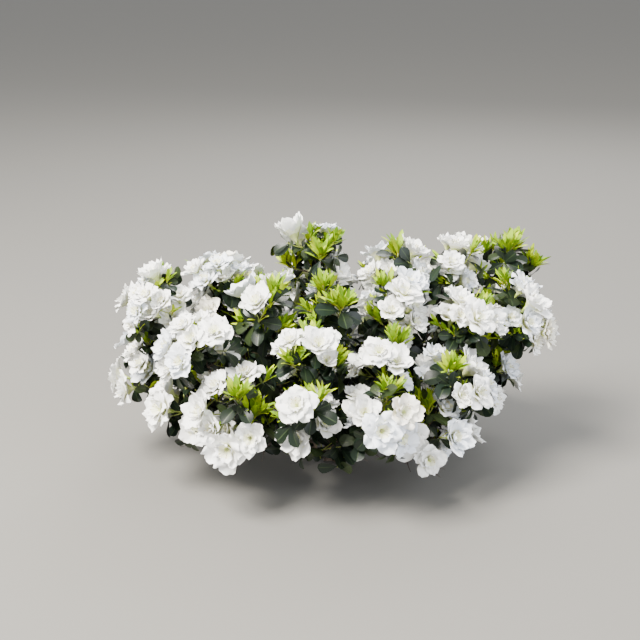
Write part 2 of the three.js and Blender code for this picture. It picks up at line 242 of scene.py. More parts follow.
plan = [
    # name, from where and how far along, bearing in degrees, reach, height, blossoms, tufts
    ("left_crown", "trunk", 0, 184, 233, 241, 6, 2),
    ("left_low", "left_crown", 0.5, 179, 256, 157, 5, 1),
    ("left_foot", "trunk", 0, 202, 211, 125, 4, 1),
    ("left_middle", "left_crown", 0.3, 170, 169, 247, 6, 2),
    ("left_front", "left_middle", 0.34, 214, 207, 210, 5, 2),
    ("front_left_low", "left_foot", 0.4, 232, 200, 151, 4, 2),
    ("centre_left", "trunk", 0, 217, 116, 245, 3, 3),
    ("centre_front", "trunk", 0, 257, 154, 204, 5, 1),
    ("centre", "centre_left", 0.4, 269, 75, 251, 2, 4),
    ("top", "trunk", 0, 120, 52, 290, 3, 4),
    ("front_low", "trunk", 0, 260, 187, 156, 3, 2),
    ("front_right_low", "front_low", 0.4, 284, 188, 153, 4, 2),
    ("front_right", "centre_front", 0.4, 297, 152, 192, 6, 1),
    ("middle_right", "trunk", 0, 323, 92, 240, 6, 1),
    ("top_right", "trunk", 0, 25, 96, 269, 6, 1),
    ("right_crown", "trunk", 0, 14, 171, 271, 7, 1),
    ("right_middle", "right_crown", 0.45, 340, 175, 226, 6, 2),
    ("right_tip", "right_crown", 0.62, 22, 267, 262, 1, 5),
    ("right_end", "trunk", 0, 0, 235, 226, 7, 1),
    ("right_front", "trunk", 0, 323, 182, 165, 5, 2),
    ("right_low", "right_end", 0.42, 4, 203, 146, 3, 2),
    ("right_foot", "right_front", 0.35, 318, 172, 106, 4, 1),
    ("left_back_end", "back_left", 0.4, 152, 255, 134, 5, 1),
    ("back_left", "trunk", 0, 137, 205, 205, 6, 2),
    ("back_left_low", "back", 0.36, 113, 226, 114, 5, 1),
    ("back", "trunk", 0, 100, 150, 222, 6, 2),
    ("back_right", "trunk", 0, 56, 180, 225, 6, 2),
    ("back_right_low", "trunk", 0, 72, 232, 118, 5, 1),
    ("right_back_end", "back_right_low", 0.3, 33, 232, 144, 5, 1),
]

trunk = {
    "height": 54,
    "flareRadius": 17,
    "waistRadius": 11,
    "topRadius": 8,
    "flareFade": 9,
    "roots": 5,
    "rootDepth": 0.22,
    "lean": 4,
    "sides": 72,
    "rings": 30,
    "furrow": 0.7,  # depth of the bark's lengthwise furrows
    "furrowGrain": (4, 0.054),  # how fine they are round the stem and along it
    "furrowNoise": (0.7, 2.2, 4),  # how much fainter and finer each octave is, and how many
    "topInsets": (3, 1.6),  # rings that close the top, and the width of each
    "crown": 1.1,  # how far the top is domed
}

bough = {
    "lowestStart": 16,
    "highestStart": 48,
    "footRadius": 3.5,
    "sideRadius": 2.4,
    "tipRadius": 1.6,
    "bow": 0.36,
    "follow": 0.35,
    "sway": 0.07,
    "stretches": 10,  # straight ones, that twigs and leaves are kept clear of
    "cuts": 23,  # new points on the curve, for its knots
    "smoothness": (3, 2),  # along and round
    "collar": (0.35, 22),  # how much thicker its foot is, and how fast that fades
    "knots": (0.16, 0.03, 0.03),  # how much thicker its points are, by turns
    "relief": 0.45,
    "reliefSize": 3.2,
}

mass = {
    "radius": 88,
    "outwardRise": 0.5,
    "gap": 0.6,
    "lift": 0.62,
    "crotchDepth": 34,
    "stemLength": 26,
    "stemRadii": (1.68, 1.28),
    "stemSink": 2,  # into the bough's tip
    "limbMargin": 1.2,  # from a leaf to a bough
    "groundMargin": 38,
}


def trunkRadius(share, turn):
    flare = math.exp(-share * trunk["height"] / trunk["flareFade"])
    round_ = mix(trunk["waistRadius"], trunk["flareRadius"], flare)
    taper = mix(1, trunk["topRadius"] / trunk["waistRadius"], share)
    return round_ * taper * (1 + trunk["rootDepth"] * flare * math.cos(trunk["roots"] * turn))


def onCurve(handles, t):
    a, b, c, d = handles
    s = 1 - t
    return s**3 * a + 3 * s * s * t * b + 3 * s * t * t * c + t**3 * d


def alongCurve(handles, t):
    a, b, c, d = handles
    s = 1 - t
    return unit(s * s * (b - a) + 2 * s * t * (c - b) + t * t * (d - c))


def layBough(index, limbs):
    name, parentName, at, bearing, reach, height, blossoms, tufts = plan[index]
    parent = limbs.get(parentName)
    turn = bearing * degrees
    centre = np.array([reach * math.cos(turn), reach * math.sin(turn), height])
    outwards = unit(centre * np.array([1, 1, mass["outwardRise"]]))
    growth = blend(outwards, up, mass["lift"])
    crotch = centre - growth * mass["crotchDepth"]
    tip = crotch - growth * mass["stemLength"]
    if parent:
        start = onCurve(parent["handles"], at)
    else:  # the steeper it is, the higher on the trunk it starts
        steepness = math.atan2(tip[2], math.hypot(tip[0], tip[1])) / (90 * degrees)
        share = mix(bough["lowestStart"], bough["highestStart"], steepness) / trunk["height"]
        start = share * np.array([trunk["lean"], 0.0, trunk["height"]])
    length = np.linalg.norm(tip - start)
    straight = unit(tip - start)
    leaving = straight
    if parent:
        leaving = blend(straight, alongCurve(parent["handles"], at), bough["follow"])
    drift = (seeded(index, 0)() * 2 - 1) * bough["sway"] * length * sideways(straight)[0]
    bow = length * bough["bow"]
    handles = [start, start + leaving * bow + drift, tip - growth * bow - drift, tip]
    joints = np.linspace(0, 1, bough["stretches"] + 1)
    return dict(
        name=name, index=index, blossoms=blossoms, tufts=tufts, handles=handles, centre=centre,
        outwards=outwards, growth=growth, crotch=crotch, tip=tip,
        footRadius=bough["sideRadius"] if parent else bough["footRadius"],
        joints=np.array([onCurve(handles, t) for t in joints]),
    )


# Each bough is laid after the one that it grows from
limbs = {}
waiting = list(range(len(plan)))
while waiting:
    index = waiting.pop(0)
    if plan[index][1] in ("trunk", *limbs):
        limbs[plan[index][0]] = layBough(index, limbs)
    else:
        waiting.append(index)

# Walls keep each mass above the ground and on its side of half-way to any other mass
for limb in limbs.values():
    normals, offsets = [-up], [-mass["groundMargin"]]
    for other in limbs.values():
        if other is not limb:
            way = other["centre"] - limb["centre"]
            half = np.linalg.norm(way) / 2
            normals.append(unit(way))
            offsets.append(unit(way) @ limb["centre"] + half - mass["gap"] / 2)
    limb["wallNormals"], limb["wallOffsets"] = np.array(normals), np.array(offsets)

segmentStarts = np.concatenate([limb["joints"][:-1] for limb in limbs.values()])
segmentWays = np.concatenate([np.diff(limb["joints"], axis=0) for limb in limbs.values()])
shares = np.arange(bough["stretches"]) / bough["stretches"]
segmentRadii = np.concatenate(
    [mix(limb["footRadius"], bough["tipRadius"], shares) for limb in limbs.values()]
)
print("plan laid out:", len(limbs), "boughs")


# Trunk: a ring extruded upwards, then swollen into roots and furrowed


def modelTrunk():
    deselectAll()
    step = trunk["height"] / trunk["rings"]
    bpy.ops.mesh.primitive_circle_add(
        vertices=trunk["sides"], radius=trunk["waistRadius"] * mm, fill_type="NGON"
    )
    stem = bpy.context.object
    bpy.ops.object.mode_set(mode="EDIT")
    bpy.ops.mesh.select_all(action="SELECT")
    for _ in range(trunk["rings"]):
        bpy.ops.mesh.extrude_region_move(TRANSFORM_OT_translate={"value": (0, 0, step * mm)})
    insets, insetWidth = trunk["topInsets"]
    for _ in range(insets):
        bpy.ops.mesh.inset(thickness=insetWidth * mm)
        bpy.ops.transform.translate(value=(0, 0, trunk["crown"] * mm / insets))
    bpy.ops.mesh.select_all(action="SELECT")
    bpy.ops.mesh.normals_make_consistent(inside=False)
    bpy.ops.object.mode_set(mode="OBJECT")
    around, upwards = trunk["furrowGrain"]
    for vertex in stem.data.vertices:
        x, y, z = vertex.co / mm
        share = min(z / trunk["height"], 1)
        turn = math.atan2(y, x)
        place = Vector((math.cos(turn) * around, math.sin(turn) * around, z * upwards))
        furrows = noise.fractal(place, *trunk["furrowNoise"]) * trunk["furrow"]
        radius = trunkRadius(share, turn) * math.hypot(x, y) / trunk["waistRadius"] + furrows
        lean = trunk["lean"] * z / trunk["height"]
        vertex.co = Vector((radius * math.cos(turn) + lean, radius * math.sin(turn), z)) * mm
    finish = stem.modifiers.new("smooth", "SUBSURF")
    finish.levels = finish.render_levels = 1
    bpy.ops.object.modifier_apply(modifier=finish.name)
    bpy.ops.object.shade_smooth()
    stem.name = "trunk_with_bark"
    stem.data.materials.append(trunkBark)
    return stem


# Boughs: each a curve through its points, with knots where old whorls were, then bark relief


def modelBough(limb):
    deselectAll()
    bpy.ops.curve.primitive_bezier_curve_add()
    curve = bpy.context.object.data
    start, leaving, arriving, tip = [Vector(p) * mm for p in limb["handles"]]
    ends = [(start * 2 - leaving, start, leaving), (arriving, tip, tip * 2 - arriving)]
    for point, (before, place, after) in zip(curve.splines[0].bezier_points, ends):
        point.handle_left_type = point.handle_right_type = "FREE"
        point.handle_left, point.co, point.handle_right = before, place, after
    bpy.ops.object.mode_set(mode="EDIT")
    bpy.ops.curve.select_all(action="SELECT")
    bpy.ops.curve.subdivide(number_cuts=bough["cuts"])
    bpy.ops.object.mode_set(mode="OBJECT")
    points = curve.splines[0].bezier_points
    random = seeded(limb["index"], streams["knots"])
    swelling, fade = bough["collar"]
    for i, point in enumerate(points):
        share = i / (len(points) - 1)
        thick = mix(limb["footRadius"], bough["tipRadius"], share)
        knot = bough["knots"][i % len(bough["knots"])] * random()
        point.radius = thick * (1 + swelling * math.exp(-share * fade) + knot)
    curve.dimensions = "3D"
    curve.bevel_depth = mm
    curve.resolution_u, curve.bevel_resolution = bough["smoothness"]
    curve.use_fill_caps = True
    bpy.ops.object.convert(target="MESH")
    return bpy.context.object


def modelBoughs():
    pieces = [modelBough(limb) for limb in limbs.values()]
    deselectAll()
    for piece in pieces:
        piece.select_set(True)
    bpy.context.view_layer.objects.active = pieces[0]
    bpy.ops.object.join()
    boughs = bpy.context.object
    boughs.name = "boughs_with_bark"
    lumps = bpy.data.textures.new("bark_lumps", "CLOUDS")
    lumps.noise_scale = bough["reliefSize"] * mm
    lumps.noise_depth = 3
    relief = boughs.modifiers.new("relief", "DISPLACE")
    relief.texture = lumps
    relief.strength = bough["relief"] * mm
    bpy.ops.object.modifier_apply(modifier=relief.name)
    bpy.ops.object.shade_smooth()
    boughs.data.materials.clear()
    boughs.data.materials.append(boughBark)
    return boughs


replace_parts(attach(modelTrunk(), "root"), "trunk")
boughNodes = ["bough_" + name for name in limbs]
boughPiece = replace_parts(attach(modelBoughs(), "root"), *boughNodes)
print("trunk and boughs made:", len(boughPiece.data.polygons), "faces")


# Heaps: surfaces of one kind, gathered as grids of points and joined into one mesh


def newHeap():
    return {"points": [], "quads": [], "colours": [], "count": 0}


def addGrid(heap, grid, colours, closed=False):
    # grid is (many, rows, columns, 3), and colours gives each face the number of its material
    many, rows, columns, _ = grid.shape
    cells = columns if closed else columns - 1
    i, j = np.meshgrid(np.arange(rows - 1), np.arange(cells), indexing="ij")
    k = (j + 1) % columns
    corners = [i * columns + j, (i + 1) * columns + j, (i + 1) * columns + k, i * columns + k]
    starts = heap["count"] + np.arange(many)[:, None, None, None] * rows * columns
    heap["points"].append(grid.reshape(-1, 3))
    heap["quads"].append((np.stack(corners, -1)[None] + starts).reshape(-1, 4))
    heap["colours"].append(np.broadcast_to(colours, (many, rows - 1, cells)).reshape(-1))
    heap["count"] += many * rows * columns


def joinHeap(heap, name, materials):
    points, quads, colours = [np.concatenate(heap[key]) for key in ("points", "quads", "colours")]
    mesh = bpy.data.meshes.new(name)
    mesh.from_pydata(points * mm, [], quads)
    for material in materials:
        mesh.materials.append(material)
    mesh.polygons.foreach_set("material_index", colours.astype(np.int32))
    mesh.shade_smooth()
    piece = bpy.data.objects.new(name, mesh)
    bpy.context.collection.objects.link(piece)
    return piece


# Twigs and the places of the blossom, by the rule of the source

twig = {
    "step": 2.3,  # down the stem, from each to the next
    "radius": 1.1,
    "tipRadius": 0.75,
    "widestSpread": 82 * degrees,
    "phase": 1.3,
    "wander": 0.5,
    "longest": 62,
    "shortest": 17,
    "fill": 0.9,
}

blossom = {
    "radius": 31,
    "least": 0.76,  # share of that radius, before it shrinks
    "smallest": 20,
    "shrink": 0.93,
    "spacing": 0.72,
    "outwards": 0.3,
    "upwards": 0.25,
    "rimRise": 24,
    "innerRise": 30,
}

tuftSize = {"height": 18, "radius": 13}

# What the finer growth adds in the room that is left
finer = {
    "tries": 150,
    "shares": (0.7, 2.1),  # to each blossom of the solids, at the ground and at the top
    "top": 317,
    "leafyShare": 0.4,  # of that, in a mass with no more blossoms than tufts
    "spread": 1.1,
    "radii": (21, 28),
    "smallest": 17,
    "spacing": 0.5,
    "stretch": (0.8, 1),
    "depth": 12,  # down the stem
    "thickness": 0.8,  # of its twig, as a share of another's
    "fork": 0.45,  # how far along another twig its own parts from it
    "tuftMargin": 9,
}


def insideSpace(limb, points, margin):
    far = np.linalg.norm(points - limb["centre"], axis=-1)
    walls = points @ limb["wallNormals"].T - limb["wallOffsets"]
    return (far <= mass["radius"] - margin) & (walls <= -margin).all(axis=-1)


def limbDistance(points):  # from each point to the bark of the nearest bough
    away = points[:, None] - segmentStarts
    along = (away * segmentWays).sum(-1) / (segmentWays * segmentWays).sum(-1)
    near = np.clip(along, 0, 1)[..., None] * segmentWays
    return (np.linalg.norm(away - near, axis=-1) - segmentRadii).min(axis=-1)


still = 1e-6  # no faster than this is level with a wall


def roomAhead(limb, start, direction, facing, radius):  # how far a blossom or tuft can go
    tilt = limb["wallNormals"] @ facing
    halfWidth = radius * np.sqrt(np.maximum(0, 1 - tilt * tilt))
    room = limb["wallOffsets"] - halfWidth - limb["wallNormals"] @ start
    speed = limb["wallNormals"] @ direction
    nearest, furthest = 0.0, twig["longest"]
    for r, s in zip(room, speed):
        if s > still:
            furthest = min(furthest, r / s)
        elif r < 0:
            nearest = max(nearest, r / s if s < -still else math.inf)
    away = start - limb["centre"]
    inner = mass["radius"] - radius / 3  # a third of its radius stays inside
    half = away @ direction
    reach = half * half - away @ away + inner * inner
    furthest = min(furthest, math.sqrt(reach) - half) if reach > 0 else 0
    return furthest if nearest <= furthest else 0


def touchesBlossom(flower, points, margin):
    size = flower["radius"] / blossom["radius"]
    away = points - flower["base"]
    rise = away @ flower["facing"]
    out = np.sqrt(np.maximum(0, (away * away).sum(-1) - rise * rise))
    rimRise = blossom["rimRise"] * size
    within = (rise >= -margin) & (rise <= blossom["innerRise"] * size + margin)
    return within & (out < flower["radius"] * np.minimum(rise, rimRise) / rimRise + margin)


def layBlossom(limb, line, radii, spacing, flowers):
    start, direction, facing, turn, stretch = line
    radius, smallest = radii
    while radius >= smallest:
        length = roomAhead(limb, start, direction, facing, radius) * stretch
        middle = start + direction * length
        base = middle - facing * blossom["rimRise"] * radius / blossom["radius"]
        apart = [np.linalg.norm(f["middle"] - middle) / (f["radius"] + radius) for f in flowers]
        if length >= twig["shortest"] and min(apart, default=math.inf) > spacing:
            flower = {"base": base, "middle": middle, "facing": facing}
            return {**flower, "radius": radius, "turn": turn}
        radius *= blossom["shrink"]
    return None


def facingOf(limb, direction, lift):
    turned = blend(direction, limb["outwards"], blossom["outwards"])
    return blend(turned, limb["growth"], lift * blossom["upwards"])


def layTwig(limb, i, count, wantsBlossom, flowers):
    random = seeded(limb["index"], i + 1)
    tilt = math.acos(1 - (i + 0.5) / count * (1 - math.cos(twig["widestSpread"])))
    swing = (random() - 0.5) * twig["wander"]
    around = limb["index"] * twig["phase"] + i * goldenTurn + swing
    direction = leaning(limb["growth"], tilt, around)
    facing = facingOf(limb, direction, random())
    turn = random() * fullTurn
    stretch = mix(twig["fill"], 1, random())
    start = limb["crotch"] - limb["growth"] * i * twig["step"]
    radius = blossom["radius"] * mix(blossom["least"], 1, random())
    laid = {"start": start, "turn": turn, "thickness": 1, "flower": None}
    if wantsBlossom:
        line = (start, direction, facing, turn, stretch)
        flower = layBlossom(limb, line, (radius, blossom["smallest"]), blossom["spacing"], flowers)
        if flower:
            return {**laid, "flower": flower, "end": flower["base"]}
    room = roomAhead(limb, start, direction, direction, tuftSize["radius"]) - tuftSize["height"]
    end = start + direction * room * stretch
    inTuft = end + direction * tuftSize["height"] / 2
    blocked = any(touchesBlossom(f, inTuft, tuftSize["radius"] / 2) for f in flowers)
    return None if room < twig["shortest"] or blocked else {**laid, "end": end}


def addFinerBlossom(limb, twigs, flowers):
    tufts = [t["end"] for t in twigs if not t["flower"]]
    share = mix(*finer["shares"], limb["centre"][2] / finer["top"])
    if limb["tufts"] >= limb["blossoms"]:
        share *= finer["leafyShare"]
    wanted = round(limb["blossoms"] * share)
    widest = 1 - math.cos(twig["widestSpread"] * finer["spread"])
    random = seeded(limb["index"], streams["finerBlossom"])
    for _ in range(finer["tries"]):
        tilt = math.acos(1 - random() * widest)
        direction = leaning(limb["growth"], tilt, random() * fullTurn)
        facing = facingOf(limb, direction, random())
        turn = random() * fullTurn
        radii = (mix(*finer["radii"], random()), finer["smallest"])
        stretch = mix(*finer["stretch"], random())
        start = limb["crotch"] - limb["growth"] * random() * finer["depth"]
        line = (start, direction, facing, turn, stretch)
        flower = layBlossom(limb, line, radii, finer["spacing"], flowers)
        if not flower or any(touchesBlossom(flower, t, finer["tuftMargin"]) for t in tufts):
            continue
        forks = [mix(t["start"], t["end"], finer["fork"]) for t in twigs]
        fork = min(forks, key=lambda place: np.linalg.norm(place - flower["base"]))
        laid = {"start": fork, "end": flower["base"], "turn": turn, "flower": flower}
        twigs.append({**laid, "thickness": finer["thickness"]})
        flowers.append(flower)
        wanted -= 1
        if wanted <= 0:
            break


for limb in limbs.values():
    count = limb["blossoms"] + limb["tufts"]
    limb["twigs"], limb["flowers"] = [], []
    for i in range(count):
        due = (i + 1) * limb["blossoms"] // count > i * limb["blossoms"] // count
        laid = layTwig(limb, i, count, due, limb["flowers"])
        if laid:
            limb["twigs"].append(laid)
            if laid["flower"]:
                limb["flowers"].append(laid["flower"])
    addFinerBlossom(limb, limb["twigs"], limb["flowers"])

allFlowers = [flower for limb in limbs.values() for flower in limb["flowers"]]
flowerMiddles = gather(allFlowers, "middle")
print("blossoms laid out:", len(allFlowers))


nearby = 75  # further than a blossom and a leaf reach together


def flowersNear(place):
    far = np.linalg.norm(flowerMiddles - place, axis=1)
    return [allFlowers[n] for n in np.flatnonzero(far < nearby)]


def inBlossom(points, margin, near):
    return any(touchesBlossom(flower, points, margin).any() for flower in near)


# Twigs are thin bent tubes, brown up to the ring that they are green from, or all along

closedTip = 0.03  # radius that each tip tapers to
lumpTurns = 23  # radians of the lumps along a tube
twigTube = {"rings": 6, "sides": 6, "bend": 0.1, "lumps": 0.12, "greenFrom": 3}
shootTube = {"rings": 4, "sides": 5, "bend": 0.1, "lumps": 0.12, "greenFrom": 0}
bareTube = {"rings": 5, "sides": 5, "bend": 0.14, "lumps": 0.2, "greenFrom": 9}
stemTube = {"rings": 6, "sides": 8, "bend": 0, "lumps": 0.12, "greenFrom": 9}


def addTube(heaps, start, end, radii, random, shape):
    first, second = sideways(unit(end - start))
    bow = first * (random() - 0.5) + second * (random() - 0.5)
    t = np.linspace(0, 1, shape["rings"])[:, None]
    bend = np.sin(t * math.pi) * bow * np.linalg.norm(end - start) * shape["bend"]
    line = np.vstack([mix(start, end, t) + bend, end])
    lumps = shape["lumps"] * np.sin(t * lumpTurns + random() * anyPhase)
    radius = np.vstack([mix(*radii, t) * (1 + lumps), [closedTip]])
    ring = circle(shape["sides"], first, second)
    green = (np.arange(shape["rings"]) >= shape["greenFrom"]).astype(int)
    grid = (line[:, None] + radius[:, None] * ring)[None]
    addGrid(heaps["twigs"], grid, green[:, None], closed=True)


# Leaves: each a grid with a fold along the midrib, arched back from its twig

oldLeaf = {
    "length": 31,
    "width": 19,
    # how far along, and how wide as a share of the width
    "outline": [
        (0, 0.07), (0.12, 0.15), (0.36, 0.62), (0.62, 0.97),
        (0.8, 0.98), (0.93, 0.64), (1, 0.1),
    ],
    "columns": [1, 0.06, -0.06, -1],
    "rib": (slice(None), slice(None), 1),  # the faces of its midrib
}
youngLeaf = {
    "length": 34,
    "width": 8,
    "outline": [(0, 0.16), (0.14, 0.34), (0.38, 0.84), (0.62, 1.0), (0.85, 0.68), (1, 0.04)],
    "columns": [1, 0, -1],
    "rib": (slice(None), 0),  # the faces of its stalk
}
variety = {
    "spread": (0.74, 1.2),  # as a share of the spread of its ring
    "width": (0.88, 1.1),
    "arch": (0.15, 0.75),  # radians, from root to tip
    "fold": (0.1, 0.36),
    "swing": 0.7,
    "wave": (0.04, 8),  # of the edges: a share of the width, and radians along them
    "tones": (0.45, 0.8),  # shares of all leaves that end the first colour and the second
    "tested": (1, 0.7, 0.4),  # places along a leaf that have to be clear
    "lowest": 54,  # above the ground
    "blossomMargin": 0.4,
    "spaceMargin": -2,
}

# Rings of leaves: how many, how far up the twig, the step down it, and how far they spread
collar = {"leaves": 5, "at": 0.66, "step": 2.2, "spread": 68, "sizes": (0.5, 0.85)}
ruff = {"leaves": 5, "at": 0.88, "step": 1.8, "spread": 84, "sizes": (0.85, 1.1)}
shootRuff = {"leaves": 5, "at": 0.95, "step": 1.6, "spread": 66, "sizes": (0.5, 0.95)}
innerRuff = {"leaves": 6, "at": 0.96, "step": 1.8, "spread": 70, "sizes": (0.6, 1.0)}
tuftRings = [
    {"leaves": 6, "at": 1, "step": 2.2, "spread": 40, "sizes": (0.7, 0.95), "arch": 0.8},
    {"leaves": 6, "at": 1, "step": 1.0, "spread": 24, "sizes": (0.75, 1.0), "arch": 0.5},
    {"leaves": 4, "at": 1, "step": 0.3, "spread": 9, "sizes": (0.5, 0.75), "arch": 0.3},
]
smallTufts = [
    {"leaves": 5, "at": 1, "step": 1.4, "spread": 34, "sizes": (0.5, 0.75), "arch": 0.6},
    {"leaves": 4, "at": 1, "step": 0.5, "spread": 13, "sizes": (0.5, 0.75), "arch": 0.4},
]


def leafGrids(leaves, shape):
    roots, ways = gather(leaves, "root"), gather(leaves, "way")
    across = unit(np.cross(ways, gather(leaves, "lift")))
    top = np.cross(across, ways)
    keys = ("length", "width", "arch", "fold", "phase")
    length, width, arch, fold, phase = [gather(leaves, key)[:, None, None] for key in keys]
    t, w = [np.array(shape["outline"])[None, :, n, None] for n in (0, 1)]
    c = np.array(shape["columns"])[None, None, :]
    forwards = length * np.sin(arch * t) / arch
    drop = length * (1 - np.cos(arch * t)) / arch
    side = width / 2 * w * c
    waveHeight, waveTurns = variety["wave"]
    waves = width * waveHeight * np.sin(t * waveTurns + phase + c) * np.abs(c) * w
    rise = np.abs(side) * np.sin(fold) + waves
    return (
        roots[:, None, None]
        + (side * np.cos(fold))[..., None] * across[:, None, None]
        + forwards[..., None] * ways[:, None, None]
        + (rise - drop)[..., None] * top[:, None, None]
    )


def addRing(leaves, laid, ring, leaf, near, random, space=None, axis=None):
    line = laid["end"] - laid["start"]
    axis = unit(line) if axis is None else axis
    made = []
    for j in range(ring["leaves"]):
        spread = ring["spread"] * degrees * mix(*variety["spread"], random())
        swing = (random() - 0.5) * variety["swing"]
        size = mix(*ring["sizes"], random())
        new = {
            "root": laid["start"] + line * ring["at"] - unit(line) * j * ring["step"],
            "way": leaning(axis, spread, laid["turn"] + j * goldenTurn + swing),
            "lift": axis,
            "length": leaf["length"] * size,
            "width": leaf["width"] * size * mix(*variety["width"], random()),
            "arch": mix(*variety["arch"], random()) * ring.get("arch", 1),
            "fold": mix(*variety["fold"], random()),
            "phase": random() * anyPhase,
            "tone": random(),
        }
        made.append(new)
    tested = variety["tested"]
    spots = np.array([m["root"] + m["way"] * m["length"] * share for m in made for share in tested])
    good = (limbDistance(spots) > mass["limbMargin"]) & (spots[:, 2] > variety["lowest"])
    if space:
        good &= insideSpace(space, spots, variety["spaceMargin"])
    for flower in near:
        good &= ~touchesBlossom(flower, spots, variety["blossomMargin"])
    leaves.extend(m for m, g in zip(made, good.reshape(len(made), -1).all(axis=1)) if g)


# Shoots: side ones on the twigs, longer under a blossom, leafy and bare ones along the boughs,
# and those of a tuft

lowestTips = {"leafy": 58, "bare": 14}  # above the ground
shootMargins = {"bark": 2, "leafy": 1, "bare": 0}  # to a bough, and to a blossom
tuftLift = 0.68  # how far a tuft turns from its twig's line to upright
tuftShoot = {"count": 3, "at": (0.74, 0.92), "lean": (24, 40), "length": (10, 19), "lift": 0.3}
sideShoot = {"count": 2, "at": (0.15, 0.7), "lean": (40, 75), "length": (10, 24), "tufts": 0.22}
flowerShoot = {"count": 2, "at": (0.3, 0.8), "lean": (30, 60), "length": (14, 30), "tufts": 0.5}
# leafy shoots along the boughs are real growth, but set this thick so that their dark leaves fill
# the inside of the crown and stand in for its shade
innerShoot = {"count": 12, "at": (0.22, 0.85), "lean": (35, 80), "length": (18, 44), "tufts": 0.07}
bareShoot = {"count": 8, "at": (0.15, 0.9), "lean": (30, 75), "length": (22, 46)}
bareFork = {"at": (0.35, 0.6), "lean": (25, 50), "length": (10, 22), "tested": 0.6}
shootRadii = {"leafy": (0.75, 0.55), "tuft": (0.7, 0.6), "bare": (0.8, 0.35), "fork": (0.5, 0.3)}
shootLift = 0.2  # how far a shoot on a bough turns to upright


def addSmallTuft(heaps, shoot, axis, near, random):
    for ring in smallTufts:
        addRing(heaps["young"], shoot, ring, youngLeaf, near, random, axis=axis)


def addLeafyShoot(heaps, start, way, kind, ring, random):
    end = start + way * mix(*kind["length"], random())
    path = np.array([mix(start, end, 0.5), end])
    near = flowersNear(end)
    low = path[:, 2].min() < lowestTips["leafy"]
    touching = limbDistance(path[1:]).min() < shootMargins["bark"]
    if low or touching or inBlossom(path, shootMargins["leafy"], near):
        return
    shoot = {"start": start, "end": end, "turn": random() * fullTurn}
    addTube(heaps, start, end, shootRadii["leafy"], random, shootTube)
    addRing(heaps["old"], shoot, ring, oldLeaf, near, random)
    if random() < kind["tufts"]:
        addSmallTuft(heaps, shoot, blend(way, up, tuftLift), near, random)


def addBareShoot(heaps, start, way, random):
    end = start + way * mix(*bareShoot["length"], random())
    fork = mix(start, end, mix(*bareFork["at"], random()))
    forkWay = leaning(way, mix(*bareFork["lean"], random()) * degrees, random() * anyPhase)
    tip = fork + forkWay * mix(*bareFork["length"], random())
    path = np.array([mix(fork, end, bareFork["tested"]), end, tip])
    low = path[:, 2].min() < lowestTips["bare"]
    touching = limbDistance(path).min() < shootMargins["bark"]
    if low or touching or inBlossom(path, shootMargins["bare"], flowersNear(end)):
        return
    addTube(heaps, start, end, shootRadii["bare"], random, bareTube)
    addTube(heaps, fork, tip, shootRadii["fork"], random, bareTube)


def placeOnBough(limb, kind, n, random):
    at = mix(*kind["at"], (n + random()) / kind["count"])
    lean = mix(*kind["lean"], random()) * degrees
    way = leaning(alongCurve(limb["handles"], at), lean, n * goldenTurn + random())
    return onCurve(limb["handles"], at), blend(way, up, shootLift)


def addTuft(heaps, limb, laid, near, random):
    line = laid["end"] - laid["start"]
    axis = blend(unit(line), up, tuftLift)
    for ring in tuftRings:
        addRing(heaps["young"], laid, ring, youngLeaf, near, random, limb, axis)
    for n in range(tuftShoot["count"]):  # smaller tufts crowd round the first
        start = laid["start"] + line * mix(*tuftShoot["at"], random())
        lean = mix(*tuftShoot["lean"], random()) * degrees
        way = leaning(axis, lean, laid["turn"] + n * goldenTurn)
        end = start + way * mix(*tuftShoot["length"], random())
        if inBlossom(end, shootMargins["bare"], near):
            continue
        shoot = {"start": start, "end": end, "turn": random() * fullTurn}
        addTube(heaps, start, end, shootRadii["tuft"], random, shootTube)
        addSmallTuft(heaps, shoot, blend(way, up, tuftShoot["lift"]), near, random)


def growMass(heaps, limb):
    random = seeded(limb["index"], streams["shoots"])
    foot = limb["tip"] - limb["growth"] * mass["stemSink"]
    addTube(heaps, foot, limb["crotch"], mass["stemRadii"], random, stemTube)
    for laid in limb["twigs"]:
        line = laid["end"] - laid["start"]
        near = flowersNear(laid["end"])
        radii = (twig["radius"] * laid["thickness"], twig["tipRadius"] * laid["thickness"])
        addTube(heaps, laid["start"], laid["end"], radii, random, twigTube)
        kind, ring = (flowerShoot, collar) if laid["flower"] else (sideShoot, ruff)
        addRing(heaps["old"], laid, ring, oldLeaf, near, random, limb)
        if not laid["flower"]:
            addTuft(heaps, limb, laid, near, random)
        for n in range(kind["count"]):
            start = laid["start"] + line * mix(*kind["at"], (n + random()) / kind["count"])
            lean = mix(*kind["lean"], random()) * degrees
            way = leaning(unit(line), lean, laid["turn"] + (n + 0.5) * goldenTurn)
            addLeafyShoot(heaps, start, way, kind, shootRuff, random)
    for n in range(innerShoot["count"]):
        place, way = placeOnBough(limb, innerShoot, n, random)
        addLeafyShoot(heaps, place, way, innerShoot, innerRuff, random)
    for n in range(bareShoot["count"]):
        addBareShoot(heaps, *placeOnBough(limb, bareShoot, n, random), random)


def leafHeap(leaves, shape):
    # each leaf has one of three colours, and its midrib or its stalk the fourth
    tones = np.digitize(gather(leaves, "tone"), variety["tones"])[:, None, None]
    tones = np.tile(tones, (1, len(shape["outline"]) - 1, len(shape["columns"]) - 1))
    tones[shape["rib"]] = len(variety["tones"]) + 1
    heap = newHeap()
    addGrid(heap, leafGrids(leaves, shape), tones)
    return heap


# Blossom: each petal is a grid on the funnel of its flower, with a frilled edge. The rows give
# how far along, how far out, how high and half as wide as, for a blossom of the full radius.

